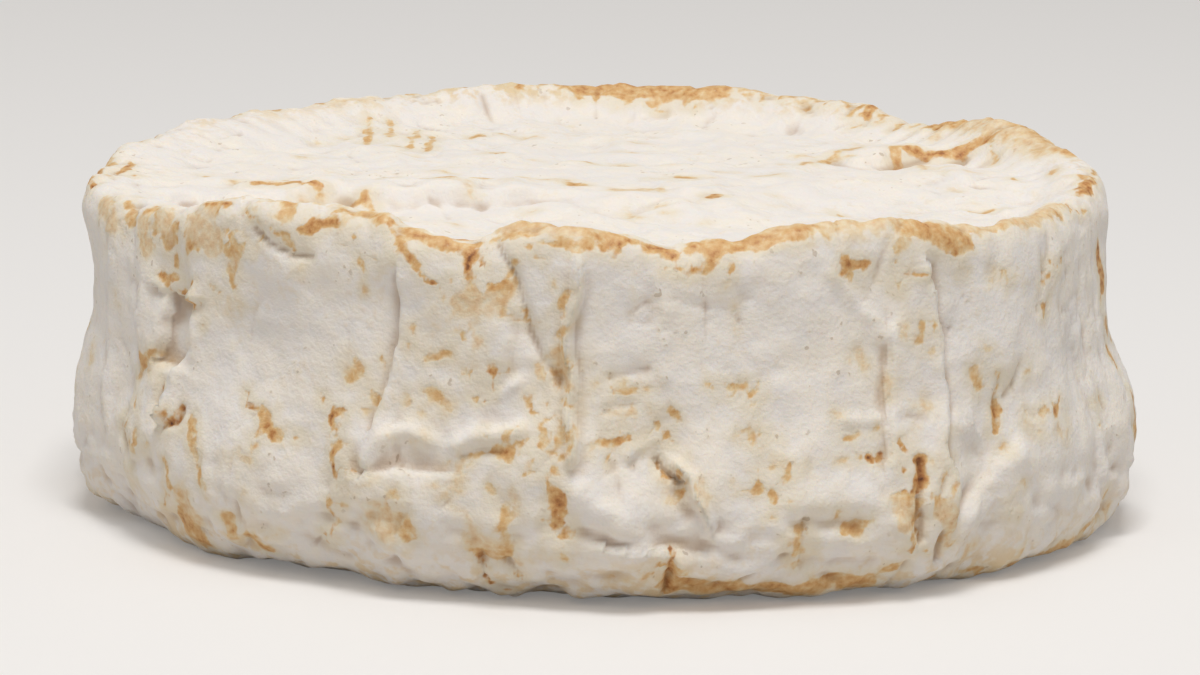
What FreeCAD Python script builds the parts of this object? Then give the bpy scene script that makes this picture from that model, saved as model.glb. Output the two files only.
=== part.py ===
import FreeCAD, Part
import math
import os

# Camembert: one whole uncut cheese, a single solid.
# Millimetres and degrees. +Z is up and the flat base lies on Z = 0.
# A bearing is an angle round the axis: 0 faces -Y and 90 faces +X.

# ---- driving dimensions ----
WALL_DIAMETER = 104.6       # across the side wall, above the swollen foot
FOOT_DIAMETER = 110.0       # across the swollen foot, the widest place
BASE_DIAMETER = 97.6        # across the flat face that the cheese rests on
RIM_HEIGHT = 36.4           # mean height of the rim's crest
FOOT_HEIGHT = 9.3           # height of the widest place of the foot
FOOT_SPREAD = 8.8           # how far up the wall the foot's swelling fades
SHOULDER_DROP = 3.6         # height of the rounding between the wall and the crest
SHOULDER_BREADTH = 2.3      # from the wall in to the crest
DISH_DEPTH = 4.3            # sunken top face, below the mean crest
SLOPE_BREADTH = 6.2         # from the crest in to the foot of the inner slope
PLATEAU_RISE = 1.3          # raised back part of the top face, above the sunken part
STEP_LENGTH = 10.0          # length of the slope down from the plateau
TOP_LEAN = 1.8              # the rim stands this much nearer to -X than the foot
CENTRE_RADIUS = 2.5         # flat disc that closes the top face at its centre
CENTRE_FLAT_RADIUS = 8.0    # the top face is level inside this radius

# ---- how finely the skin is shaped ----
BEARINGS = 144
WALL_ROWS = 18
SLOPE_ROWS = 6
TOP_ROWS = 15
BASE_LIP = 4.0                # flat ring of the skin inside the base's edge
FOOT_ROLL = (25, 42, 58, 74)  # angles of the rows from the base's edge up to the foot
SHOULDER_ROLL = (25, 50, 72, 90)   # angles of the rows from the wall over to the crest

# Rise of the crest above its mean height, by bearing: its highs and lows, to half a millimetre.
CREST_RISE = [
    (-150, 0.0), (-135, -1.0), (-120, -0.5), (-95, -2.0), (-60, -2.0), (-40, 1.0), (-29, 1.5),
    (-15, -1.0), (-8, 1.0), (10, -1.0), (28, 1.0), (50, -1.0), (66, -1.5), (95, -0.5),
    (117, 1.0), (136, -1.0), (147, 0.5), (172, 1.0),
]

# Growth of the base's radius, by bearing: tucked in at the front, full at both sides.
BASE_GROWTH = [
    (-145, -0.5), (-110, 1.5), (-80, 3.0), (-62, 0.5), (-28, -2.0), (-16, -1.0), (-5, -2.0),
    (6, -0.5), (30, 0.0), (44, 1.0), (66, 3.0), (105, 1.0), (140, -0.5), (180, 0.5),
]

# Growth of the inner slope's breadth, by bearing: it is widest at the back left.
SLOPE_GROWTH = [
    (0, 0.5), (60, -0.5), (120, 0.5), (160, 0.0), (-150, 1.5), (-125, 4.0), (-95, 4.5), (-50, 1.0),
]

# Slow waves of the outline: waves round the cheese, growth of the radius, bearing of a crest.
OUTLINE_WAVES = [(2, 0.35, 95), (3, 0.30, 160), (5, 0.28, 205), (7, 0.22, 40), (11, 0.16, 150)]
FOOT_WAVES = [(6, 0.35, 20), (9, 0.40, 75), (14, 0.30, 5), (19, 0.22, 130)]

# Folds and pockets of the side: swelling (a pocket is negative), half width, and the
# (bearing, height) places that the fold runs through.
SIDE_FOLDS = [
    (-1.5, 2.6, [(-53.5, 27.0), (-54.0, 20.5)]),
    (0.7, 1.8, [(-48.5, 29.0), (-50.5, 21.0), (-52.0, 14.0)]),
    (0.6, 2.0, [(-59.0, 30.0), (-59.5, 13.0)]),
    (0.6, 2.4, [(-68.0, 32.0), (-69.0, 14.0)]),
    (-0.5, 1.8, [(-64.0, 31.0), (-64.5, 15.0)]),
    (0.8, 3.2, [(-40.0, 33.5), (-37.0, 30.0)]),
    (0.7, 2.2, [(-23.5, 36.0), (-16.5, 31.0)]),
    (0.5, 3.0, [(-27.0, 22.0), (-26.0, 10.0)]),
    (-0.6, 2.2, [(-23.0, 29.0), (-24.0, 17.0)]),
    (-0.8, 1.8, [(-11.5, 34.5), (-8.0, 29.0), (-5.0, 22.5)]),
    (0.9, 1.8, [(-2.7, 33.5), (-3.6, 27.5), (-2.8, 15.0)]),
    (-0.6, 3.0, [(2.5, 14.5), (4.0, 9.0)]),
    (0.7, 1.9, [(-1.5, 12.0), (4.0, 6.5)]),
    (0.8, 1.9, [(9.0, 14.5), (11.5, 7.0)]),
    (-0.7, 2.0, [(6.3, 17.5), (8.2, 12.5), (9.5, 6.5)]),
    (1.2, 2.8, [(34.5, 32.0), (34.5, 22.0), (36.5, 7.0)]),
    (-0.6, 2.0, [(29.5, 30.0), (29.0, 13.0)]),
    (-1.3, 2.4, [(41.5, 13.0), (44.0, 5.5)]),
    (0.9, 2.2, [(53.0, 14.5), (47.0, 10.5), (42.5, 6.0)]),
    (0.3, 3.6, [(75.0, 15.0), (76.0, 7.0)]),
    (-0.5, 5.0, [(82.0, 9.0), (98.0, 9.0)]),
    (0.6, 4.0, [(94.0, 33.0), (112.0, 33.0)]),
    (-0.8, 1.9, [(68.0, 31.0), (69.0, 9.0)]),
    (0.8, 2.6, [(98.0, 30.0), (95.0, 14.0)]),
    (-1.1, 2.5, [(112.0, 26.0), (110.0, 12.0)]),
    (0.9, 2.4, [(124.0, 33.0), (127.0, 20.0), (125.0, 8.0)]),
    (-0.8, 2.2, [(141.0, 31.0), (137.0, 16.0)]),
    (0.8, 2.6, [(152.0, 20.0), (158.0, 9.0)]),
    (1.0, 2.6, [(171.0, 33.0), (168.0, 20.0), (173.0, 9.0)]),
    (-1.2, 2.4, [(-176.0, 22.0), (-172.0, 9.0)]),
    (0.8, 2.2, [(-160.0, 34.0), (-156.0, 23.0), (-158.0, 10.0)]),
    (-0.8, 2.4, [(-145.0, 28.0), (-147.0, 14.0)]),
    (0.9, 2.8, [(-131.0, 32.0), (-134.0, 16.0)]),
    (-1.0, 2.2, [(-118.0, 27.0), (-114.0, 12.0)]),
    (0.8, 2.4, [(-101.0, 33.0), (-98.0, 18.0), (-102.0, 8.0)]),
    (-0.6, 2.2, [(-86.0, 28.0), (-84.0, 15.0)]),
    (0.5, 3.5, [(-100.0, 33.0), (-78.0, 33.0)]),
    (-0.5, 4.5, [(-98.0, 22.0), (-80.0, 22.0)]),
]

# Front edge of the plateau on the top face, as (x, y) places from -X to +X.
PLATEAU_EDGE = [(-46, 2), (-36, -6), (-24, -8), (-10, -8), (0, -12), (10, -10), (20, 4), (30, 6), (50, 3)]

# Rises and dents of the top face: rise (a dent is negative), half width, x and y.
TOP_DENTS = [
    (-0.9, 3.6, 4.5, -16.0), (-0.6, 2.4, 12.0, -19.0), (0.5, 3.0, 8.5, -17.0),
    (-0.6, 6.0, 30.0, -10.0), (0.8, 5.0, 40.0, 7.0), (-0.7, 5.0, -33.0, 22.0),
    (0.4, 5.0, -12.0, 16.0), (-0.4, 4.0, 4.0, 12.0), (0.4, 5.0, 14.0, 24.0), (-0.4, 4.5, -6.0, 28.0),
    (0.4, 5.0, -22.0, -26.0), (-0.4, 4.0, -10.0, -24.0), (0.3, 5.0, 20.0, -30.0),
]


def smooth_step(value, low, high):
    """0 below low, 1 above high, and a smooth rise between."""
    share = min(1.0, max(0.0, (value - low) / (high - low)))
    return share * share * (3.0 - 2.0 * share)


def bell(distance, half_width):
    """1 at no distance, fading smoothly to nothing past the half width."""
    return math.exp(-((distance / half_width) ** 2))


def mix(low, high, share):
    return low + (high - low) * share


def around(marks, bearing):
    """Smooth value at a bearing from (bearing, value) marks that go once round."""
    marks = sorted((mark % 360.0, value) for mark, value in marks)
    bearing = bearing % 360.0
    before = marks[-1][0] - 360.0, marks[-1][1]
    for mark in marks + [(marks[0][0] + 360.0, marks[0][1])]:
        if bearing < mark[0]:
            return mix(before[1], mark[1], smooth_step(bearing, before[0], mark[0]))
        before = mark
    return before[1]


def waves(table, bearing):
    return sum(size * math.cos(math.radians(count * (bearing - crest))) for count, size, crest in table)


def distance_to_path(place, path):
    """Shortest distance from a flat place to a chain of straight runs."""
    nearest = math.inf
    for start, end in zip(path, path[1:]):
        run = end[0] - start[0], end[1] - start[1]
        offset = place[0] - start[0], place[1] - start[1]
        share = (offset[0] * run[0] + offset[1] * run[1]) / (run[0] ** 2 + run[1] ** 2)
        share = min(1.0, max(0.0, share))
        nearest = min(nearest, math.hypot(offset[0] - share * run[0], offset[1] - share * run[1]))
    return nearest


def side_swelling(bearing, height):
    """How far the folds push the side wall out at a bearing and height."""
    arc_per_degree = math.radians(WALL_DIAMETER / 2.0)
    swelling = 0.0
    for size, half_width, places in SIDE_FOLDS:
        path = []
        for fold_bearing, fold_height in places:
            turn = (fold_bearing - bearing + 180.0) % 360.0 - 180.0
            path.append((turn * arc_per_degree, fold_height))
        swelling += size * bell(distance_to_path((0.0, height), path), half_width)
    return swelling


def wall_radius(bearing, height):
    """Radius of the side wall from the foot's widest height up to the shoulder."""
    foot = bell(height - FOOT_HEIGHT, FOOT_SPREAD)
    radius = mix(WALL_DIAMETER, FOOT_DIAMETER, foot) / 2.0
    radius += waves(OUTLINE_WAVES, bearing) + foot * waves(FOOT_WAVES, bearing)
    return radius + side_swelling(bearing, height)


def base_radius(bearing):
    return BASE_DIAMETER / 2.0 + around(BASE_GROWTH, bearing)


def crest_height(bearing):
    return RIM_HEIGHT + around(CREST_RISE, bearing)


def plateau_edge(x):
    """Y of the plateau's front edge at an x."""
    for start, end in zip(PLATEAU_EDGE, PLATEAU_EDGE[1:]):
        if x < end[0]:
            return mix(start[1], end[1], smooth_step(x, start[0], end[0]))
    return PLATEAU_EDGE[-1][1]


def top_height(x, y):
    """Height of the top face inside the rim."""
    edge = plateau_edge(x)
    plateau = smooth_step(y, edge - STEP_LENGTH, edge)
    height = RIM_HEIGHT - DISH_DEPTH + PLATEAU_RISE * plateau
    for rise, half_width, place_x, place_y in TOP_DENTS:
        height += rise * bell(math.hypot(x - place_x, y - place_y), half_width)
    return height


def lean(height):
    """Shift of the section along X at a height."""
    return -TOP_LEAN * height / RIM_HEIGHT


def place(bearing, radius, height):
    angle = math.radians(bearing)
    return FreeCAD.Vector(radius * math.sin(angle) + lean(height), -radius * math.cos(angle), height)


def base_rows(bearing):
    """Flat rim of the base, then the roll that rises to the foot's widest place."""
    inner = base_radius(bearing)
    outer = wall_radius(bearing, FOOT_HEIGHT)
    rows = [(inner - BASE_LIP, 0.0), (inner - BASE_LIP / 2.0, 0.0), (inner, 0.0)]
    for angle in FOOT_ROLL:
        across = math.sin(math.radians(angle))
        drop = math.cos(math.radians(angle))
        rows.append((mix(inner, outer, across), FOOT_HEIGHT * (1.0 - drop)))
    return rows


def wall_rows(bearing):
    top = crest_height(bearing) - SHOULDER_DROP
    rows = []
    for row in range(WALL_ROWS):
        height = mix(FOOT_HEIGHT, top, row / (WALL_ROWS - 1.0))
        rows.append((wall_radius(bearing, height), height))
    return rows


def shoulder_rows(bearing):
    """Rounding from the wall over to the crest."""
    crest = crest_height(bearing)
    wall = wall_radius(bearing, crest - SHOULDER_DROP)
    rows = []
    for angle in SHOULDER_ROLL:
        across = 1.0 - math.cos(math.radians(angle))
        up = math.sin(math.radians(angle))
        rows.append((wall - SHOULDER_BREADTH * across, crest - SHOULDER_DROP * (1.0 - up)))
    return rows


def slope_rows(bearing, crest_radius):
    """Inner slope from the crest down to the top face."""
    breadth = SLOPE_BREADTH + around(SLOPE_GROWTH, bearing)
    angle = math.radians(bearing)
    rows = []
    for row in range(1, SLOPE_ROWS + 1):
        share = row / float(SLOPE_ROWS)
        radius = crest_radius - breadth * share
        floor = top_height(radius * math.sin(angle), -radius * math.cos(angle))
        rows.append((radius, mix(crest_height(bearing), floor, smooth_step(share, 0.0, 1.0))))
    return rows


def top_rows(bearing, start_radius):
    """Top face from the foot of the inner slope in to the flat disc at the centre."""
    angle = math.radians(bearing)
    centre_height = top_height(0.0, 0.0)
    rows = []
    for row in range(1, TOP_ROWS + 1):
        radius = mix(start_radius, CENTRE_RADIUS, row / float(TOP_ROWS))
        height = top_height(radius * math.sin(angle), -radius * math.cos(angle))
        level = smooth_step(radius, CENTRE_FLAT_RADIUS, 2.0 * CENTRE_FLAT_RADIUS)
        rows.append((radius, mix(centre_height, height, level)))
    return rows


def profile(bearing):
    """(radius, height) rows from the base, up the side and in over the top."""
    rows = base_rows(bearing) + wall_rows(bearing) + shoulder_rows(bearing)
    rows += slope_rows(bearing, rows[-1][0])
    rows += top_rows(bearing, rows[-1][0])
    return rows


def skin_surface():
    """Smooth surface that closes on itself round the axis."""
    poles = []
    for step in range(BEARINGS):
        bearing = 360.0 * step / BEARINGS
        poles.append([place(bearing, radius, height) for radius, height in profile(bearing)])
    rows = len(poles[0])
    surface = Part.BSplineSurface()
    surface.buildFromPolesMultsKnots(
        poles,
        [1] * (BEARINGS + 1),
        [4] + [1] * (rows - 4) + [4],
        list(range(BEARINGS + 1)),
        list(range(rows - 2)),
        True,
        False,
        3,
        3,
    )
    return surface


def closing_disc(surface, end):
    """Flat disc that closes one end of the skin."""
    edge = surface.vIso(end).toShape()
    return Part.Face(Part.Wire([edge]))


def centred(shape):
    """The shape moved so that its box is centred on the Z axis and stands on Z = 0."""
    box = shape.optimalBoundingBox(False, False)
    shape.translate(FreeCAD.Vector(-box.Center.x, -box.Center.y, -box.ZMin))
    return shape


def make_camembert():
    surface = skin_surface()
    first, last = surface.bounds()[2:]
    faces = [surface.toShape(), closing_disc(surface, first), closing_disc(surface, last)]
    shell = Part.makeShell(faces)
    shell.sewShape()
    solid = Part.makeSolid(shell)
    if solid.Volume < 0:
        solid.reverse()
    return centred(solid)


def main():
    os.makedirs("parts", exist_ok=True)
    camembert = make_camembert()
    print("volume cm3", round(camembert.Volume / 1000.0, 1), "valid", camembert.isValid())
    camembert.exportStep("parts/camembert.step")


main()
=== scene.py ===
import math

import bpy
import numpy as np
from mathutils import Matrix, Vector
from mathutils.bvhtree import BVHTree


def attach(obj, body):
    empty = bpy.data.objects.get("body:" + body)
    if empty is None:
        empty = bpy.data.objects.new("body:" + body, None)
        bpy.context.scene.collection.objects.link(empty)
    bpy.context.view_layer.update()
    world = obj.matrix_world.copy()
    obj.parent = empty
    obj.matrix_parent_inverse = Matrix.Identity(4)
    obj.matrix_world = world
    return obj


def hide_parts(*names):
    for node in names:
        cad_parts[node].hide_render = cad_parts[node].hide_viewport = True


MM = 0.001

# ---- the mesh of the rind ----
COLUMNS = 608  # round the cheese; halved again and again towards the centres
CROWDING = 0.32  # 0 spaces the columns evenly; more crowds them at the front
BASE_ROWS = 26  # over the underside, from its centre to the edge
SIDE_ROWS = 84  # from the base's edge up to the rim's crest
TOP_ROWS = 104  # from the crest in to the centre
HALVING_RADII = [25.0, 12.5, 6.2, 3.1]  # the columns are halved inside each of these, in mm
BASE_HALVING_RADII = [47.0, 25.0, 12.5, 6.2, 3.1]
PIVOT_RADIUS = 43.0  # a circle inside the cheese, which the fitting rays point at
PIVOT_HEIGHTS = (8.0, 27.0)  # its lowest and highest place
RAY_START = 60.0  # the rays start this far out from it, in mm

# ---- the baking map, in mm on a square ----
MAP_SIZE = 206.0
MAP_MARGIN = 2.0
STRIP_HEIGHT = 50.0  # of each half of the side
TOP_CENTRE = (53.0, 153.0)
BASE_CENTRE = (150.0, 135.0)  # the base is drawn at half size

# ---- places on the cheese, in mm and degrees ----
SIDE_RADIUS = 52.5  # the side's mean radius
CREST_RADIUS = 44.0  # the rim's crest lies outside it
BASE_FLATNESS = 0.15  # the base is what lies below it
RIM_HEIGHT = 36.4
RIM_LEAN = 1.8  # the rim stands this much nearer to -X than the base
LEFT_STEP_Y = -7.5  # the plateau's torn edge on the top face, at its left
RIGHT_STEP_Y = 20.5  # and at its right
BACK_PATCH = (166.0, 184.0)  # bearings of the back rim's widest stain
HIDDEN_SIDE = (76.0, 284.0)  # bearings of the side that faces away from the photograph
OUTLINE_MARGIN = 18.0  # hidden folds start this far from the photograph's outline

# ---- camera: the photograph's viewing angle ----
CAMERA_PLACE = (-0.0024, -0.5400, 0.1179)  # in metres
CAMERA_PITCH = math.radians(10.6)
CAMERA_ROLL = math.radians(1.1)
CAMERA_LENS = 156.9  # in mm, as the sensor
SENSOR_WIDTH = 36.0

# ---- grades that the marks are judged in ----
SLIGHT, CLEAR, DEEP = 0.3, 0.5, 0.8  # height of a fold, in mm
THIN, BROAD, WIDE = 0.45, 0.8, 1.3  # half width of a fold, in mm
PALE, TAN, BROWN, DARK = 0.55, 0.8, 1.05, 1.3  # strength of a stain
HAIR, LINE, BLOT, PATCH = 0.25, 0.4, 0.7, 1.3  # half width of a stain, in mm
FOLD_STRENGTH = {"step": 1.9, "ridge": 1.6, "groove": 1.1}  # a fold's height is taken so many times
STAIN_REACH = 6.0  # how far a stain's strength is felt, in mm

# Folds of the side, read off the photograph under a grid of bearing (0 faces -Y, 90 faces +X)
# and height in mm. Each is a kind, a height, a half width and a route. A ridge stands out and a
# groove is cut in. A step raises the skin on the right of the route, seen from outside.
FOLDS = [
    # pocket at the left: right wall, left wall, roof and floor
    ("step", DEEP, THIN, (-53, 14.5), (-51.5, 18.5), (-50, 21.5), (-49.5, 26)),
    ("step", DEEP, THIN, (-55, 25), (-55.5, 23), (-56.5, 20)),
    ("step", CLEAR, THIN, (-49, 26), (-52, 25.5), (-56, 26.5)),
    ("step", SLIGHT, BROAD, (-55, 19), (-51.5, 19)),
    ("groove", DEEP, 1.9, (-52.5, 25), (-53.5, 20)),
    ("ridge", CLEAR, BROAD, (-51.5, 19), (-53, 14.5)),
    # cracks under the pocket
    ("groove", CLEAR, THIN, (-55, 17.5), (-55, 15.5), (-54, 13.5)),
    ("groove", CLEAR, THIN, (-49.5, 15.5), (-50, 14), (-52.5, 13)),
    # long folds further left
    ("step", SLIGHT, THIN, (-60.5, 19.5), (-60.5, 22), (-60, 25.5)),
    ("groove", SLIGHT, THIN, (-61.5, 13.5), (-62.5, 11.5), (-61.5, 10)),
    ("step", SLIGHT, BROAD, (-68, 12), (-69, 20), (-68, 29)),
    # left shoulder: its crease and the swelling over it
    ("groove", CLEAR, THIN, (-39, 34.5), (-37, 33.5), (-34, 32.5), (-31.5, 32.5)),
    ("ridge", SLIGHT, WIDE, (-38, 36), (-33, 35)),
    # right edge of the smooth panel, and the lobes under it
    ("step", CLEAR, THIN, (-23.5, 17.5), (-22, 22), (-21, 25.5), (-20.5, 31)),
    ("ridge", CLEAR, BROAD, (-24, 13.5), (-22.5, 16), (-19.5, 17), (-17, 16)),
    ("step", CLEAR, BROAD, (-24, 12.5), (-20.5, 13), (-17, 13)),
    ("ridge", CLEAR, BROAD, (-14.5, 16), (-12, 16.5), (-8, 17.5)),
    ("groove", SLIGHT, THIN, (-14, 15), (-9.5, 15.5)),
    # pits of the foot
    ("groove", CLEAR, THIN, (-12.5, 5), (-12.5, 2.5)),
    ("groove", CLEAR, THIN, (-9.5, 4.5), (-8.5, 3)),
    # double crease: the crease, its soft shadow and the sharp ridge beside them
    ("groove", CLEAR, THIN, (-10, 35), (-7.5, 31), (-6.5, 27.5), (-5, 24), (-4, 22.5)),
    ("groove", SLIGHT, BROAD, (-8, 28), (-8, 26), (-8.5, 23.5), (-10, 21.5)),
    ("ridge", SLIGHT, THIN, (-10, 21), (-8, 22)),
    ("ridge", DEEP, THIN, (-1.5, 34), (-1.5, 31), (-2.5, 28), (-2.5, 21.5), (-2.5, 15)),
    # middle: soft ridge, wrinkles, and the pit with its diagonal fold
    ("ridge", SLIGHT, BROAD, (6.5, 34), (7.5, 29), (7.5, 23)),
    ("groove", SLIGHT, THIN, (1.5, 23), (5.5, 23.5)),
    ("groove", SLIGHT, THIN, (1, 19.5), (4, 20)),
    ("ridge", SLIGHT, THIN, (3, 15.5), (6.5, 17)),
    ("groove", DEEP, THIN, (6.5, 15), (7.5, 13.5), (8.5, 13)),
    ("ridge", DEEP, THIN, (8.5, 14.5), (9.5, 13), (10.5, 10.5), (11.5, 8.5)),
    ("groove", CLEAR, BROAD, (7.5, 12), (9, 10)),
    ("ridge", CLEAR, WIDE, (-1.5, 12), (2, 9), (4.5, 7)),
    ("step", CLEAR, THIN, (1, 7), (5, 6.5), (9.5, 6)),
    # foot right of the middle: black crack, swelling and creases
    ("groove", DEEP, THIN, (7, 5), (7, 1.5)),
    ("ridge", CLEAR, WIDE, (8.5, 4.5), (13, 4.5), (17, 4.5)),
    ("ridge", SLIGHT, THIN, (10.5, 8), (13, 7), (14.5, 7.5)),
    ("groove", CLEAR, THIN, (15, 3), (17, 4.5), (19, 5.5)),
    ("ridge", SLIGHT, WIDE, (20, 11), (24, 10.5), (28.5, 10.5)),
    ("groove", SLIGHT, THIN, (23.5, 7), (25.5, 6)),
    ("ridge", SLIGHT, THIN, (26, 18), (30, 18)),
    # raised plate at the right: left edge, the shoulder over it, and right edge
    ("step", CLEAR, THIN, (31, 14), (31.5, 17.5), (32, 22), (32.5, 26)),
    ("ridge", SLIGHT, BROAD, (32, 26), (31, 27.5), (28.5, 29.5), (26.5, 32)),
    ("step", DEEP, THIN, (38, 31.5), (39, 26), (39, 19), (38, 14.5), (38.5, 12), (38.5, 9)),
    ("groove", SLIGHT, THIN, (33, 18), (34, 18.5), (36, 18)),
    # knot at the plate's foot
    ("groove", DEEP, THIN, (34, 14), (33.5, 10.5), (33.5, 6)),
    ("groove", SLIGHT, THIN, (37, 12.5), (35.5, 10)),
    ("ridge", CLEAR, BROAD, (31.5, 8), (33, 5)),
    ("groove", DEEP, THIN, (36.5, 6.5), (36.5, 3.5)),
    # fan of folds right of the plate
    ("ridge", SLIGHT, THIN, (40.5, 17.5), (42, 15)),
    ("ridge", SLIGHT, THIN, (42, 17.5), (44, 13.5)),
    ("ridge", CLEAR, WIDE, (48.5, 13), (45, 11.5), (42, 9), (39.5, 6)),
    ("groove", CLEAR, BROAD, (44, 11.5), (40.5, 9.5)),
    ("ridge", SLIGHT, THIN, (44.5, 9), (42, 6.5)),
    ("groove", CLEAR, WIDE, (39.5, 9), (38, 6)),
    ("groove", SLIGHT, THIN, (47, 20), (46.5, 15.5)),
    ("groove", SLIGHT, THIN, (51, 21.5), (48, 18.5)),
    # right end
    ("groove", SLIGHT, THIN, (61, 27), (62, 20)),
    ("step", SLIGHT, BROAD, (66, 9), (67, 14), (66, 20)),
]

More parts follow.
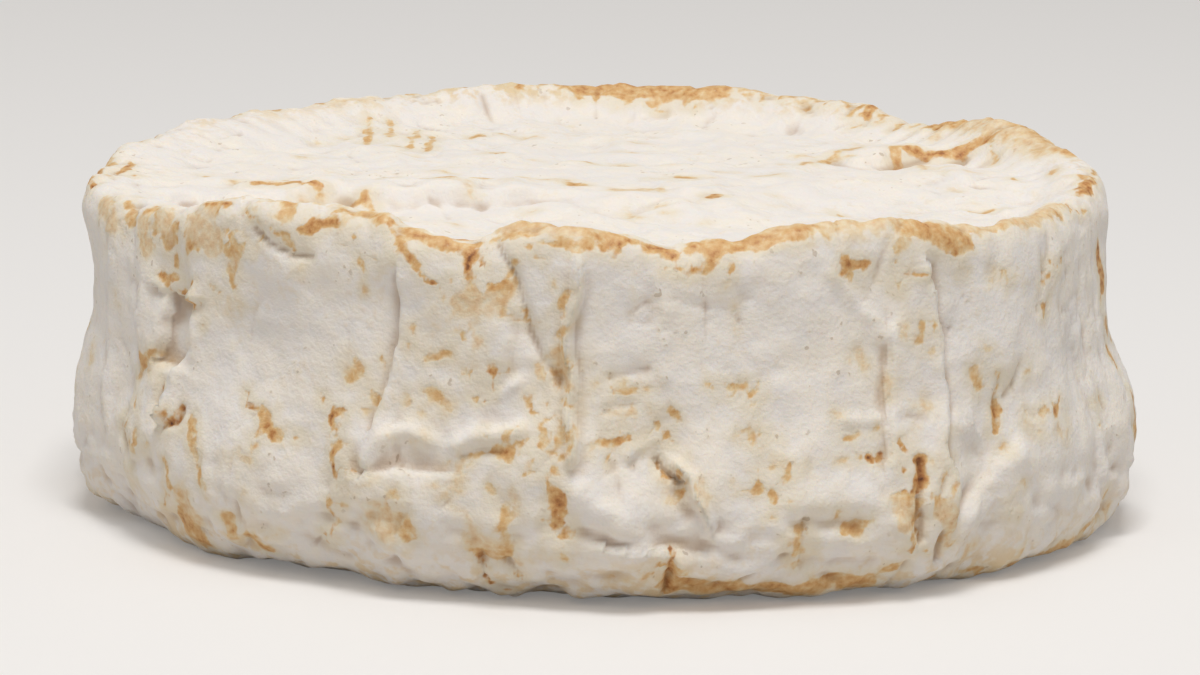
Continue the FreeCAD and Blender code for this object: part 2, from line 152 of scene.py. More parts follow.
# Stains of the side: a strength, a half width, and a route in bearing and height.
SIDE_STAINS = [
    # roof of the pocket
    (BROWN, LINE, (-56, 27.5), (-54, 26), (-52, 26)),
    (BROWN, LINE, (-49, 27.5), (-49, 26)),
    (PALE, HAIR, (-44, 27), (-44, 24.5)),
    (TAN, BLOT, (-43.5, 32), (-42, 31)),
    (PALE, LINE, (-42.5, 30.5), (-43, 28.5)),
    (BROWN, HAIR, (-43, 28.5), (-42.5, 28)),
    # left of the pocket, and its cracks
    (PALE, HAIR, (-66.5, 24.5), (-66.5, 23.5)),
    (PALE, LINE, (-73, 17.5), (-73, 16)),
    (TAN, BLOT, (-57, 19.5), (-59, 19), (-59.5, 17)),
    (TAN, LINE, (-60, 15.5), (-59.5, 14)),
    (DARK, HAIR, (-55, 17.5), (-55, 15.5), (-54, 13.5)),
    (DARK, LINE, (-49.5, 15.5), (-50, 14), (-52.5, 13)),
    (BROWN, HAIR, (-61.5, 13.5), (-62.5, 11.5), (-61.5, 10)),
    (TAN, BLOT, (-57.5, 11.5), (-57.5, 11)),
    (BROWN, HAIR, (-61.5, 8), (-61.5, 6.5)),
    # runs down to the foot, left
    (TAN, LINE, (-48, 14.5), (-46.5, 11), (-45.5, 9)),
    (TAN, LINE, (-52, 10), (-50.5, 7), (-50.5, 5)),
    (BROWN, BLOT, (-50.5, 5), (-51, 3), (-50, 2)),
    (TAN, PATCH, (-50, 4), (-49.5, 2)),
    (PALE, PATCH, (-49, 7), (-48.5, 5)),
    (TAN, BLOT, (-42.5, 5.5), (-42, 4)),
    (TAN, BLOT, (-40.5, 4), (-38.5, 2.5)),
    (PALE, LINE, (-42, 12), (-40, 12.5), (-38.5, 12)),
    (PALE, LINE, (-39.5, 9.5), (-39.5, 8)),
    (DARK, HAIR, (-40.5, 18), (-39, 17)),
    (PALE, BLOT, (-37.5, 16.5), (-37, 16)),
    (BROWN, BLOT, (-37, 15.5), (-35.5, 14.5)),
    # column left of the panel's edge
    (TAN, BLOT, (-27, 21.5), (-25.5, 21.5)),
    (BROWN, BLOT, (-29, 17), (-27.5, 17.5)),
    (TAN, HAIR, (-27.5, 17.5), (-26, 18.5)),
    (BROWN, LINE, (-28.5, 16.5), (-27, 15)),
    (BROWN, LINE, (-27, 15), (-28.5, 14), (-28.5, 11.5)),
    (TAN, HAIR, (-26.5, 11), (-26, 10)),
    (BROWN, LINE, (-28.5, 9.5), (-29, 6)),
    (TAN, HAIR, (-25.5, 33), (-25, 32), (-25, 29.5)),
    (TAN, HAIR, (-24, 12.5), (-23, 12)),
    (TAN, BLOT, (-21, 9), (-19.5, 6.5)),
    (PALE, PATCH, (-24, 8), (-21.5, 8.5)),
    # between the panel and the double crease
    (DARK, LINE, (-13.5, 32.5), (-13, 33.5)),
    (TAN, HAIR, (-13, 31.5), (-12.5, 31)),
    (BROWN, BLOT, (-10, 31.5), (-8.5, 31)),
    (PALE, BLOT, (-10, 30.5), (-9, 30.5)),
    (TAN, HAIR, (-16.5, 29.5), (-15, 30)),
    (PALE, PATCH, (-14, 29), (-12.5, 29.5)),
    (PALE, HAIR, (-17, 28), (-16.5, 25.5)),
    (TAN, LINE, (-18.5, 24.5), (-17, 24.5), (-15, 24.5)),
    (PALE, LINE, (-12.5, 28), (-12, 26), (-12, 24)),
    (TAN, BLOT, (-17.5, 20.5), (-15.5, 19.5)),
    (BROWN, HAIR, (-9, 23.5), (-10.5, 23), (-10.5, 21)),
    (DARK, HAIR, (-11, 20.5), (-10.5, 20.5)),
    (PALE, LINE, (-17.5, 16.5), (-19.5, 15.5)),
    (TAN, LINE, (-13.5, 15), (-10, 15.5)),
    (BROWN, BLOT, (-10.5, 15.5), (-9, 15.5)),
    (TAN, HAIR, (-9.5, 16), (-8, 17.5)),
    (PALE, BLOT, (-14, 14.5), (-14, 12)),
    (PALE, BLOT, (-15.5, 11), (-13.5, 9), (-12, 7)),
    (PALE, LINE, (-8.5, 12), (-8.5, 9.5)),
    (TAN, BLOT, (-9.5, 10), (-9.5, 5)),
    (DARK, LINE, (-12.5, 5.5), (-12.5, 2.5)),
    (DARK, HAIR, (-9.5, 4.5), (-8.5, 3)),
    (PALE, PATCH, (-13, 6.5), (-10.5, 6)),
    # double crease
    (BROWN, HAIR, (-7, 29), (-6.5, 27.5)),
    (BROWN, HAIR, (-5, 23.5), (-4, 23), (-4, 21.5)),
    (PALE, BLOT, (-5.5, 23.5), (-5.5, 22.5)),
    (TAN, LINE, (-2.5, 31), (-3, 28), (-3.5, 25)),
    (PALE, BLOT, (-3.5, 25), (-3, 22)),
    (BROWN, LINE, (-7, 20.5), (-6.5, 19.5), (-5, 19)),
    (BROWN, HAIR, (-3.5, 20), (-2.5, 20)),
    (TAN, LINE, (-5.5, 18.5), (-5.5, 16)),
    (TAN, LINE, (-4, 18.5), (-4, 17)),
    (TAN, LINE, (-5, 15.5), (-3.5, 15)),
    (BROWN, LINE, (-6, 14), (-5.5, 13.5)),
    (TAN, LINE, (-5, 13.5), (-4.5, 12)),
    (BROWN, BLOT, (-4, 12), (-4, 10.5), (-4.5, 9), (-4, 9)),
    (BROWN, HAIR, (-4, 7.5), (-3, 7.5)),
    (PALE, LINE, (-4.5, 6), (-3, 5.5)),
    # middle
    (TAN, LINE, (2, 21.5), (4, 21.5)),
    (TAN, HAIR, (2, 20), (4, 20)),
    (PALE, HAIR, (1, 19), (2.5, 20)),
    (BROWN, LINE, (1, 16.5), (3, 17)),
    (PALE, LINE, (-1, 16), (1, 16)),
    (TAN, HAIR, (6.5, 18), (7, 17)),
    (BROWN, HAIR, (7.5, 17.5), (8, 16.5)),
    (BROWN, HAIR, (6.5, 15), (7.5, 13.5), (8.5, 13)),
    (PALE, LINE, (7, 11.5), (8, 11.5)),
    (PALE, BLOT, (10.5, 12.5), (11, 11.5)),
    (DARK, LINE, (7, 5), (7, 1.5)),
    (TAN, HAIR, (5.5, 5.5), (6.5, 5)),
    (PALE, LINE, (1, 3), (4.5, 3)),
    # between the middle and the plate
    (TAN, LINE, (12, 22), (14.5, 22), (16, 22)),
    (PALE, HAIR, (15.5, 29.5), (15.5, 27)),
    (TAN, HAIR, (16, 19.5), (17, 20)),
    (TAN, HAIR, (16, 17), (17, 16)),
    (TAN, BLOT, (16, 12), (16.5, 12.5)),
    (TAN, LINE, (19.5, 14), (19.5, 12.5)),
    (BROWN, HAIR, (20, 13), (19.5, 11.5)),
    (TAN, BLOT, (20.5, 8), (20.5, 6)),
    (TAN, BLOT, (26, 8), (27, 8.5)),
    (TAN, LINE, (26, 16.5), (30, 17)),
    (DARK, HAIR, (30, 14), (31, 14.5)),
    (BROWN, BLOT, (28, 33), (29.5, 33)),
    # raised plate
    (BROWN, HAIR, (31.5, 31.5), (33, 31), (34, 31.5), (37.5, 31.5)),
    (PALE, BLOT, (29, 24.5), (29.5, 23)),
    (PALE, HAIR, (34.5, 27.5), (34.5, 25.5)),
    (TAN, BLOT, (36.5, 27), (36, 25.5)),
    (PALE, BLOT, (32, 21.5), (32, 20)),
    (PALE, BLOT, (35.5, 19), (36, 19)),
    (TAN, LINE, (38, 15.5), (38, 13.5)),
    (BROWN, BLOT, (34, 14), (33.5, 11)),
    (DARK, HAIR, (33.5, 10.5), (33.5, 8), (33.5, 6)),
    (BROWN, HAIR, (37, 12.5), (35.5, 10.5)),
    (PALE, PATCH, (31.5, 10), (32, 8.5)),
    (PALE, PATCH, (36, 9.5), (37.5, 8)),
    (TAN, LINE, (33, 6), (34.5, 5)),
    (TAN, LINE, (37, 7), (37, 5.5)),
    # fan of folds and the right end
    (TAN, BLOT, (43.5, 21.5), (44, 20)),
    (BROWN, LINE, (47, 20), (46.5, 17.5), (46, 15.5)),
    (PALE, HAIR, (51, 21.5), (48, 18.5)),
    (BROWN, LINE, (57.5, 17), (56.5, 15.5)),
    (TAN, LINE, (53.5, 16), (50.5, 16)),
    (PALE, BLOT, (55.5, 14), (56, 13.5)),
    (BROWN, HAIR, (57, 26), (58.5, 27)),
    (BROWN, HAIR, (59, 30.5), (59.5, 29.5)),
    (TAN, LINE, (49.5, 30.5), (49.5, 29.5)),
    (BROWN, HAIR, (67.5, 15), (68, 14.5)),
    (TAN, LINE, (48, 7.5), (48, 7)),
    (PALE, BLOT, (42.5, 4), (42, 3)),
    # foot's edge
    (TAN, PATCH, (8, 2.5), (11, 2)),
    (TAN, PATCH, (11, 2), (15, 1.5), (20, 1.5), (25, 2), (29, 2)),
    (BROWN, LINE, (22, 2), (23.5, 2)),
    (BROWN, LINE, (36, 1), (40, 1)),
    (TAN, LINE, (43, 1), (52, 1)),
    (TAN, BLOT, (54, 1), (60, 1.5)),
    (TAN, LINE, (62, 2), (70, 3.5)),
]

# Stains along the rim, in bearing and mm from the crest: positive is down the outside.
RIM_STAINS = [
    # left shoulder
    (0.75, 0.9, (-60.5, 1.8), (-59, 0.6)),
    (1.05, 0.4, (-57.5, 3), (-55, 5.2)),
    (1.05, 0.4, (-53.5, 2.5), (-52.5, 4.7)),
    (0.95, 0.5, (-50.5, 4.6), (-48, 5.6)),
    (1.05, 0.5, (-50, -0.5), (-48, 1), (-45, 1)),
    (TAN, BLOT, (-43.5, 4), (-42.5, 5.5)),
    (PALE, PATCH, (-71, 2), (-67, 4)),
    (TAN, LINE, (-66, 1), (-63.5, 3.5)),
    (PALE, PATCH, (-61, 2.5), (-58.5, 5)),
    (BROWN, HAIR, (-60, 1.5), (-59, 5)),
    (PALE, PATCH, (-55.5, 2), (-54, 4)),
    (PALE, 1.8, (-49.5, 3), (-46, 5)),
    (0.85, 0.3, (-41, 1.5), (-38, 3), (-33, 5)),
    (TAN, HAIR, (-41.5, 6), (-38.5, 5)),
    (0.75, 0.8, (-36, 0.3), (-35, 1.6)),
    (1.1, 0.7, (-32, 3.2), (-29, 2.6)),
    (0.85, 0.35, (-40, -1), (-35, -1.8), (-29, -1.8), (-24, -0.8)),
    (0.85, 0.6, (-29, 1), (-26, 0.4), (-23, 0.6)),
    # middle
    (1.0, 0.45, (-22, 0.5), (-20, 2), (-18, 4), (-16, 5.5)),
    (1.05, 0.6, (-19, 0.5), (-15, 1), (-12, 2.6)),
    (1.15, 0.6, (-16.2, -2.8), (-16.6, -1.2)),
    (1.1, 0.7, (-13.2, -2.8), (-14.2, -0.6)),
    (1.1, 0.4, (-9, 1.6), (-8, 0.3), (-4, -0.8), (-1, 0.6)),
    (1.0, 0.4, (-8, 1.8), (-4, 2), (-1, 2)),
    (1.15, 0.6, (-1, 2), (2, 1.8), (5, 1.2), (7, 0.5), (9, 2)),
    (TAN, BLOT, (-1, 1), (4, 1), (8, 1)),
    (PALE, PATCH, (-9, 0.5), (-5, 0), (-1, 0.5)),
    (TAN, BLOT, (-20, 0.5), (-16, 1), (-12, 1.5)),
    (1.0, 0.25, (8.5, 1.6), (9.3, 3), (10.6, 3.7), (12, 3.4), (13.3, 2.4)),
    # right
    (TAN, PATCH, (13, 1), (18, 0.5), (24, 0.5)),
    (BROWN, LINE, (12, 1.5), (16, 1.5), (20, 1.5), (24, 2)),
    (PALE, 1.8, (20, -0.5), (26, -0.5), (34, 0)),
    (TAN, BLOT, (24, 0.5), (29, 0), (34, 0.5)),
    (1.2, 0.4, (34, -1.5), (33.5, 0), (36, 1)),
    (TAN, PATCH, (36, 1), (40, 2), (44, 2)),
    (PALE, PATCH, (45, 0.5), (55, 0), (68, 0)),
    (1.1, 0.5, (40, 3), (42, 3.4)),
    (0.95, 0.55, (44, 2), (50, 0.7), (58, 0.3), (66, 0.5)),
    (0.8, 0.3, (46, 0.1), (54, -0.9), (64, -0.7)),
    (1.0, 0.5, (70, 1.4), (72, 0.2)),
    (1.0, 0.5, (80, 0), (84, 0.3), (88, -0.5)),
    (0.75, 0.9, (100, 0), (110, -0.4), (122, 0)),
    # back
    (TAN, PATCH, (126, -0.5), (131, -1)),
    (PALE, 1.8, (104, -1), (114, -1.5), (124, -1)),
    (1.0, 0.6, (142, -0.4), (141, -2)),
    (0.8, 0.4, (146, 0), (152, 0), (160, -0.2)),
    (TAN, 1.9, (164, -1), (170, -1.5), (177, -1), (182, -0.5)),
    (BROWN, LINE, (166, 0), (172, 0), (180, 0)),
    (TAN, BLOT, (167, -1), (167.5, -3.5)),
    (TAN, BLOT, (171, -1), (171.5, -4)),
    (TAN, BLOT, (175, -1), (175, -3.5)),
    (0.9, 0.6, (-177, 0), (-172, -0.3)),
    (0.8, 0.4, (-168, 0), (-162, 0)),
    (0.5, 0.7, (-150, -1.5), (-143, -1)),
    (0.7, 0.5, (-137, 0), (-134, 0)),
    (1.0, 0.5, (-94, -1.2), (-86, -1.4)),
]

# Stains of the top face inside the rim, in x and y.
TOP_STAINS = [
    # left, behind the front rim
    (TAN, HAIR, (-36.5, -5.5), (-33, -5.5)),
    (BROWN, LINE, (-36.5, -8.5), (-32.5, -8.5), (-29.5, -10)),
    (TAN, HAIR, (-38.5, -5), (-38, -8)),
    (PALE, BLOT, (-31, -12), (-31, -15)),
    (BROWN, LINE, (-40.5, -18), (-38.5, -18.5)),
    (TAN, LINE, (-28, -12), (-25, -11), (-22.5, -16), (-21.5, -19)),
    (TAN, HAIR, (-32.5, -4), (-30, -2.5)),
    (TAN, LINE, (-28.5, -4.5), (-26.5, -2.5)),
    # broken line across the middle
    (TAN, LINE, (-23, -2.5), (-19, -0.5), (-15, -0.5), (-10, 0)),
    (PALE, LINE, (-9, 0), (-4, 0)),
    (TAN, BLOT, (-4, -1), (-2.5, -3)),
    (PALE, BLOT, (-16.5, -5.5), (-16, -6.5)),
    (PALE, LINE, (-14.5, -6), (-14, -9)),
    (PALE, PATCH, (1.5, -5), (5, -5)),
    (PALE, BLOT, (2.5, -14.5), (3, -15.5)),
    (BROWN, LINE, (10.5, -8), (11.5, -7)),
    (TAN, BLOT, (7.5, 4), (9, 4)),
    (TAN, HAIR, (-3, 12.5), (-0.5, 12)),
    (BROWN, HAIR, (0.5, 11), (2, 11.5)),
    # back left
    (TAN, BLOT, (-14.5, 31.5), (-14, 31.5)),
    (TAN, LINE, (-12, 33), (-11, 32)),
    (TAN, LINE, (-12.5, 17.5), (-11, 16.5)),
    # right
    (PALE, HAIR, (11.5, 9), (13.5, 10)),
    (TAN, LINE, (15.5, 6.5), (18, 6)),
    (TAN, LINE, (21, 12.5), (23, 18), (27.5, 24.5)),
    (TAN, BLOT, (31, 21.5), (31.5, 18.5)),
    (BROWN, BLOT, (33, 21), (37, 21), (41.5, 21), (44.5, 21.5)),
    (TAN, LINE, (41.5, 20), (41.5, 16)),
    (PALE, BLOT, (33.5, 12), (34, 11)),
    (PALE, BLOT, (36.5, 30), (36, 28)),
    (TAN, HAIR, (43, 5), (43, 4)),
    (TAN, LINE, (47, 4.5), (47, 2.5)),
    (TAN, LINE, (24, -7), (24.5, -9)),
    (TAN, LINE, (37.5, -5.5), (40, -6)),
]

# Short tan pleats in the inner slope at the back left, as x, y at the outer and inner end.
PLEATS = [(-26.5, 37, -26, 25), (-24, 37, -24, 27), (-21, 32, -21.5, 23), (-19, 30, -19.5, 22)]


# ---- noise ----

CORNER_MIXERS = np.array([1619, 31337, 6971])  # they spread the grid's corners over the table


def noise(points, size, seed):
    """Smooth noise from about -1 to 1 at places in mm, with lumps of about the size."""
    table = np.random.default_rng(seed).normal(size=(4096, 3))
    scaled = points / size
    corner = np.floor(scaled).astype(int)
    inside = scaled - corner
    fade = inside ** 3 * (inside * (inside * 6.0 - 15.0) + 10.0)
    total = np.zeros(points.shape[:-1])
    for step in np.ndindex(2, 2, 2):
        near = corner + step
        picks = (near @ CORNER_MIXERS) % len(table)
        slope = (table[picks] * (inside - step)).sum(axis=-1)
        weight = np.prod(np.where(np.array(step) == 1, fade, 1.0 - fade), axis=-1)
        total += slope * weight
    return total


def noise_vectors(points, size, seed):
    """Three such noises as the parts of a vector."""
    return np.stack([noise(points, size, seed + part) for part in range(3)], axis=-1)


def smooth_step(value, low, high):
    share = np.clip((value - low) / (high - low), 0.0, 1.0)
    return share * share * (3.0 - 2.0 * share)


# ---- fitting to the CAD solid ----

def cad_tree(node):
    """A search tree of one CAD node's mesh, in millimetres."""
    mesh = node.data
    points = [vertex.co / MM for vertex in mesh.vertices]
    faces = [tuple(face.vertices) for face in mesh.polygons]
    return BVHTree.FromPolygons(points, faces)


def guide_rays(pivot_radius, low, high):
    """(radius, height, outward angle) of rays that sweep a section from the base's centre
    round the side to the top's centre."""
    rays = [(radius, low, -90.0) for radius in np.arange(0.5, pivot_radius, 0.5)]
    rays += [(pivot_radius, low, angle) for angle in np.arange(-90.0, 0.0, 1.5)]
    rays += [(pivot_radius, height, 0.0) for height in np.arange(low, high, 0.4)]
    rays += [(pivot_radius, high, angle) for angle in np.arange(0.0, 90.0, 1.0)]
    rays += [(radius, high, 90.0) for radius in np.arange(pivot_radius, 0.4, -0.5)]
    return rays


def section(tree, bearing, rays):
    """Places on the solid's skin at one bearing, from the base's centre to the top's."""
    out = Vector((math.sin(bearing), -math.cos(bearing), 0.0))
    up = Vector((0.0, 0.0, 1.0))
    places = []
    for radius, height, angle in rays:
        turn = math.radians(angle)
        direction = out * math.cos(turn) + up * math.sin(turn)
        pivot = out * radius + up * height
        hit = tree.ray_cast(pivot + direction * RAY_START, -direction)[0]
        places.append(hit if hit else pivot)
    return np.array(places)


def distance_along(places):
    """Distance of every place from the start of its chain, or of its section in a grid."""
    steps = np.linalg.norm(np.diff(places, axis=-2), axis=-1)
    start = np.zeros((*steps.shape[:-1], 1))
    return np.concatenate([start, np.cumsum(steps, axis=-1)], axis=-1)


def between(wanted, measures, places):
    """The place or places of a chain where its rising measures reach the wanted ones."""
    return np.stack([np.interp(wanted, measures, places[:, axis]) for axis in range(3)], axis=-1)


def spread_evenly(places, count):
    """The chain of places with count places at even steps along it."""
    along = distance_along(places)
    return between(np.linspace(0.0, along[-1], count), along, places)


def column_bearings():
    """The bearing of each column, from 0 to a whole turn."""
    turn = np.linspace(0.0, 2.0 * math.pi, COLUMNS + 1)
    return turn - CROWDING * np.sin(turn)


def fitted_grid(tree):
    """(columns, rows, 3) places on the solid: base centre, base edge, crest, top centre."""
    rays = guide_rays(PIVOT_RADIUS, *PIVOT_HEIGHTS)
    grid = []
    for bearing in column_bearings()[:-1]:
        places = section(tree, bearing, rays)
        radii = np.hypot(places[:, 0], places[:, 1])
        edge = int(np.argmax(np.where(places[:, 2] < BASE_FLATNESS, radii, 0.0)))
        crest = int(np.argmax(np.where(radii > CREST_RADIUS, places[:, 2], 0.0)))
        parts = [
            spread_evenly(places[: edge + 1], BASE_ROWS)[:-1],
            spread_evenly(places[edge: crest + 1], SIDE_ROWS)[:-1],
            spread_evenly(places[crest:], TOP_ROWS),
        ]
        grid.append(np.concatenate(parts))
    return np.array(grid)


def smoothed(grid, times):
    """The grid with its facets worn away. The sections' ends are only evened out round the turn."""
    for _ in range(times):
        round_the_side = (np.roll(grid, 1, axis=0) + 2.0 * grid + np.roll(grid, -1, axis=0)) / 4.0
        inner = (round_the_side[:, :-2] + 2.0 * round_the_side[:, 1:-1] + round_the_side[:, 2:]) / 4.0
        grid = round_the_side.copy()
        grid[:, 1:-1] = inner
    return grid


def grid_normals(grid):
    round_step = np.roll(grid, -1, axis=0) - np.roll(grid, 1, axis=0)
    up_step = np.gradient(grid, axis=1)
    normals = np.cross(round_step, up_step)
    return normals / np.maximum(np.linalg.norm(normals, axis=2, keepdims=True), 1e-9)


# ---- places on the grid ----

EDGE_ROW = BASE_ROWS - 1
CREST_ROW = BASE_ROWS + SIDE_ROWS - 2
BEARINGS = column_bearings()


def column_at(x, y):
    bearing = math.atan2(x, -y) % (2.0 * math.pi)
    return int(round(np.interp(bearing, BEARINGS, np.arange(COLUMNS + 1)))) % COLUMNS


def rim_column(bearing, height):
    """The column that a bearing round the leaning side meets at a height."""
    turn = math.radians(bearing)
    x = SIDE_RADIUS * math.sin(turn) - RIM_LEAN * height / RIM_HEIGHT
    return column_at(x, -SIDE_RADIUS * math.cos(turn))


def side_place(grid, bearing, height):
    places = grid[rim_column(bearing, height), EDGE_ROW: CREST_ROW + 1]
    return between(height, places[:, 2], places)


def rim_place(grid, bearing, offset):
    """A place some mm from the crest, positive down the outside."""
    places = grid[rim_column(bearing, RIM_HEIGHT)]
    along = distance_along(places)
    return between(along[CREST_ROW] - offset, along, places)


def top_place(grid, x, y):
    rows = grid[column_at(x, y), CREST_ROW:][::-1]
    radii = np.hypot(rows[:, 0], rows[:, 1])
    height = float(np.interp(math.hypot(x, y), radii, rows[:, 2]))
    return [x, y, height]


def traced(grid, route, finder):
    """The route's places on the skin, with a place at least every 2 mm."""
    marks = []
    for start, end in zip(route, route[1:]):
        steps = 1 + int(np.linalg.norm(np.subtract(finder(grid, *end), finder(grid, *start))) / 2.0)
        for step in range(steps):
            share = step / steps
            place = [first + (last - first) * share for first, last in zip(start, end)]
            marks.append(finder(grid, *place))
    marks.append(finder(grid, *route[-1]))
    return np.array(marks)


def near_route(points, normals, marks, reach):
    """For the points within reach of a chain of marks: their picks, distances and sides
    (positive on the left of the chain, seen from outside)."""
    low = marks.min(axis=0) - reach
    high = marks.max(axis=0) + reach
    picks = np.nonzero(((points > low) & (points < high)).all(axis=1))[0]
    places = points[picks]
    best = np.full(len(picks), np.inf)
    sides = np.zeros(len(picks))
    for start, end in zip(marks, marks[1:]):
        run = end - start
        offset = places - start
        share = np.clip(offset @ run / max(run @ run, 1e-9), 0.0, 1.0)
        distance = np.linalg.norm(offset - share[:, None] * run, axis=1)
        closer = distance < best
        best = np.where(closer, distance, best)
        side = np.sign((np.cross(run, offset) * normals[picks]).sum(axis=1))
        sides = np.where(closer, side, sides)
    return picks, best, sides


# ---- hidden side ----

def hidden_folds(dice):
    """Folds of the side that the photograph doesn't show, in the same manner."""
    folds = []
    first, last = HIDDEN_SIDE[0] + OUTLINE_MARGIN, HIDDEN_SIDE[1] - OUTLINE_MARGIN
    for bearing in np.arange(first, last, 10.0):
        place = bearing + dice.uniform(-5.0, 5.0)
        low = dice.uniform(3.0, 20.0)
        high = min(low + dice.uniform(5.0, 22.0), 33.0)
        drift = dice.uniform(-4.0, 4.0)
        kind = dice.choice(["ridge", "groove", "step", "step"])
        route = [(place, low), (place + drift, (low + high) / 2.0), (place + drift / 2.0, high)]
        folds.append((kind, dice.uniform(0.15, 0.45), dice.uniform(0.5, 1.2), *route))
    for _ in range(34):
        place = dice.uniform(first - 2.0, last - 4.0)
        height = dice.uniform(2.0, 14.0)
        reach = dice.uniform(2.0, 7.0)
        climb = dice.uniform(-3.5, 3.5)
        kind = dice.choice(["ridge", "groove", "ridge", "step"])
        middle = (place + reach / 2.0, height + climb * 0.7)
        route = [(place, height), middle, (place + reach, height + climb)]
        folds.append((kind, dice.uniform(0.25, 0.55), dice.uniform(0.5, 1.1), *route))
    return folds


def fine_folds(dice):
    """Thin upright creases at the right, where the skin is drawn together."""
    folds = []
    for _ in range(16):
        place = dice.uniform(56.0, 76.0)
        low = dice.uniform(14.0, 26.0)
        route = [(place, low), (place + dice.uniform(-1.0, 1.0), low + dice.uniform(4.0, 8.0))]
        folds.append(("groove", dice.uniform(0.15, 0.3), 0.4, *route))
    return folds


def hidden_stains(dice):
    """Stains of the side that the photograph doesn't show: columns, dashes, spots and a
    broken line along the foot."""
    stains = []
    for bearing in np.arange(HIDDEN_SIDE[0] + 8.0, HIDDEN_SIDE[1] - 6.0, 26.0):
        place = bearing + dice.uniform(-7.0, 7.0)
        height = dice.uniform(13.0, 31.0)
        while height > 3.0:
            reach = dice.uniform(1.5, 5.0)
            start = (place + dice.uniform(-1.2, 1.2), height)
            end = (place + dice.uniform(-1.2, 1.2), height - reach)
            stains.append((dice.uniform(0.7, 1.15), dice.uniform(0.35, 0.75), start, end))
            height -= reach + dice.uniform(0.3, 4.0)
    for _ in range(34):
        place = dice.uniform(*HIDDEN_SIDE)
        height = 33.0 * dice.uniform(0.04, 1.0) ** 1.15
        reach = dice.uniform(0.5, 3.5)
        route = [(place, height), (place + reach, height + dice.uniform(-0.8, 0.8))]
        stains.append((dice.uniform(0.5, 1.15), dice.uniform(0.25, 0.6), *route))
    for _ in range(26):
        place = dice.uniform(*HIDDEN_SIDE)
        height = dice.uniform(1.5, 31.0)
        route = [(place, height), (place + 0.4, height + dice.uniform(-1.2, 1.2))]
        stains.append((dice.uniform(0.4, 0.95), dice.uniform(0.4, 1.0), *route))
    for _ in range(8):
        place = dice.uniform(*HIDDEN_SIDE)
        route = [(place, 1.5), (place + dice.uniform(4.0, 12.0), dice.uniform(1.2, 2.4))]
        stains.append((dice.uniform(0.7, 1.0), dice.uniform(0.35, 0.7), *route))
    return stains


def hidden_rim_stains(dice):
    """A broken tan line along the outside of the rim where the photograph doesn't show it."""
    stains = []
    bearing = HIDDEN_SIDE[0] + 2.0
    while bearing < HIDDEN_SIDE[1]:
        reach = dice.uniform(2.0, 12.0)
        offset = dice.uniform(0.4, 2.4)
        route = [(bearing, offset), (bearing + reach / 2.0, offset + dice.uniform(-0.8, 0.8)),
                 (bearing + reach, dice.uniform(0.4, 2.4))]
        stains.append((dice.uniform(0.65, 1.15), dice.uniform(0.35, 0.85), *route))
        bearing += reach + dice.uniform(0.0, 6.0)
    return stains


def satellites(stains, dice):
    """Small flecks beside the marks of every stain, more of them where it is strong."""
    flecks = []
    for strength, half_width, *route in stains:
        for _ in range(3 if strength > 0.7 else 1):
            place, height = route[dice.integers(len(route))]
            place += dice.uniform(-2.4, 2.4)
            height += dice.uniform(-2.2, 2.2)
            end = (place + dice.uniform(-0.6, 0.9), height + dice.uniform(-0.6, 0.6))
            flecks.append((strength * dice.uniform(0.7, 1.1), 0.5 * half_width, (place, height), end))
    return flecks


def drips(dice):
    """Short runs of stain from the back's crest down the inner slope."""
    stains = []
    for bearing in np.arange(104.0, 190.0, 2.3):
        in_patch = BACK_PATCH[0] < bearing < BACK_PATCH[1]
        deep = 1.0 if in_patch else 0.55 * dice.uniform(0.2, 1.4)
        start = bearing + dice.uniform(-0.7, 0.7)
        end = -0.8 - 3.2 * deep * dice.uniform(0.4, 1.0)
        route = [(start, -0.4), (start + dice.uniform(-0.6, 0.6), end)]
        stains.append((dice.uniform(0.6, 0.9) + 0.25 * deep, dice.uniform(0.25, 0.5), *route))
    return stains


def top_flecks(dice):
    """Small flecks all over the sunken top face."""
    stains = []
    for _ in range(90):
        turn = dice.uniform(0.0, 2.0 * math.pi)
        radius = 42.0 * math.sqrt(dice.uniform(0.0, 1.0))
        x = radius * math.sin(turn)
        y = -radius * math.cos(turn)
        route = [(x, y), (x + dice.uniform(-2.2, 2.2), y + dice.uniform(-0.8, 0.8))]
        stains.append((dice.uniform(0.3, 0.7), dice.uniform(0.2, 0.4), *route))
    return stains


# ---- relief ----

def fold_relief(points, normals, grid, folds):
    """How far the folds move the skin outwards, in mm."""
    relief = np.zeros(len(points))
    for kind, fold_size, width, *route in folds:
        size = FOLD_STRENGTH[kind] * fold_size
        marks = traced(grid, route, side_place)
        reach = width * (6.0 if kind == "step" else 3.0)
        picks, distance, sides = near_route(points, normals, marks, reach)
        if kind == "step":
            fade = np.exp(-(distance / (0.5 * reach)) ** 2)
            relief[picks] += -0.5 * size * sides * np.tanh(distance / (0.5 * width)) * fade
        else:
            sign = 1.0 if kind == "ridge" else -1.0
            relief[picks] += sign * size * np.exp(-(distance / width) ** 2)
    return relief


def crest_distance(grid):
    """Distance of every grid place from its section's crest, positive down the outside."""
    along = distance_along(grid)
    return along[:, CREST_ROW: CREST_ROW + 1] - along


